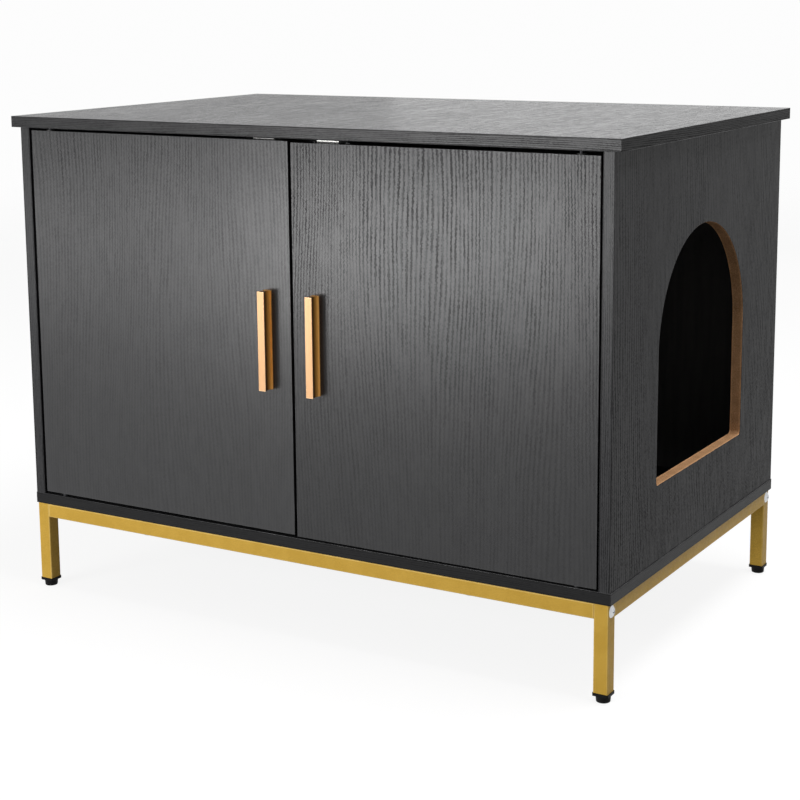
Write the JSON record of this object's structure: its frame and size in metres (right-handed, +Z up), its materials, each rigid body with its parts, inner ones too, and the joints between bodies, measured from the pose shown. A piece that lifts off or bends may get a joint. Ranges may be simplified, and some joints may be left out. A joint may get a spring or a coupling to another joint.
{
  "type": "cat litter box cabinet",
  "caption": "Low two-door cabinet that hides a cat litter tray, with an arched cat doorway in its right side, on a square-tube metal base.",
  "frame": {"origin": "on the floor under the middle of the whole cabinet's box, handles included", "axes": "+X to the right along the front, +Y from the doors to the back, +Z up"},
  "size_m": [0.9, 0.5904, 0.667],
  "materials": {
    "black_laminate": "embossed ash-grain laminate on particle board, satin black",
    "back_hardboard": "painted hardboard, matt black",
    "black_plastic": "moulded, matt",
    "cam_zinc": "die-cast zinc",
    "beech": "raw beech",
    "copper_gold": "anodised copper gold, satin",
    "zinc_steel": "bright zinc plate",
    "nylon": "moulded, dark grey nylon",
    "magnet": "ferrite",
    "pole_steel": "bright nickel plate",
    "gold_paint": "metallic gold powder coat",
    "foot_plastic": "moulded, black"
  },
  "bodies": {
    "carcass": {"top_board": "black_laminate", "bottom_board": "black_laminate", "side_board_left": "black_laminate", "side_board_right": "black_laminate", "back_panel_left": "back_hardboard", "back_panel_right": "back_hardboard", "back_joining_strip": "black_plastic", "cam_locks": "cam_zinc", "cam_bolts": "cam_zinc", "dowels": "beech", "pivot_pin_upper_left": "zinc_steel", "pivot_pin_lower_left": "zinc_steel", "catch_housing_left": "black_plastic", "catch_magnet_left": "magnet", "catch_pole_plates_left": "pole_steel", "catch_screws_left": "zinc_steel", "side_frame_left": "gold_paint", "foot_front_left": "foot_plastic", "foot_rear_left": "foot_plastic", "pivot_pin_upper_right": "zinc_steel", "pivot_pin_lower_right": "zinc_steel", "catch_housing_right": "black_plastic", "catch_magnet_right": "magnet", "catch_pole_plates_right": "pole_steel", "catch_screws_right": "zinc_steel", "side_frame_right": "gold_paint", "foot_front_right": "foot_plastic", "foot_rear_right": "foot_plastic", "front_rail": "gold_paint", "rear_rail": "gold_paint", "rail_nut_blocks": "cam_zinc", "frame_bolts": "zinc_steel", "deck_bolts": "zinc_steel", "deck_inserts": "cam_zinc"},
    "door_left": {"door_left": "black_laminate", "handle_left": "copper_gold", "handle_screws_left": "zinc_steel", "pivot_bushes_left": "nylon", "strike_plate_left": "zinc_steel", "strike_screw_left": "zinc_steel"},
    "door_right": {"door_right": "black_laminate", "handle_right": "copper_gold", "handle_screws_right": "zinc_steel", "pivot_bushes_right": "nylon", "strike_plate_right": "zinc_steel", "strike_screw_right": "zinc_steel"}
  },
  "joints": [
    {"name": "left_door_pivot", "type": "hinge", "parent": "carcass", "child": "door_left", "pos_m": [-0.393, -0.27025, 0.141], "axis": [0, 0, -1], "range_deg": [0, 145]},
    {"name": "right_door_pivot", "type": "hinge", "parent": "carcass", "child": "door_right", "pos_m": [0.395, -0.27025, 0.1395], "axis": [0, 0, 1], "range_deg": [0, 145]}
  ]
}
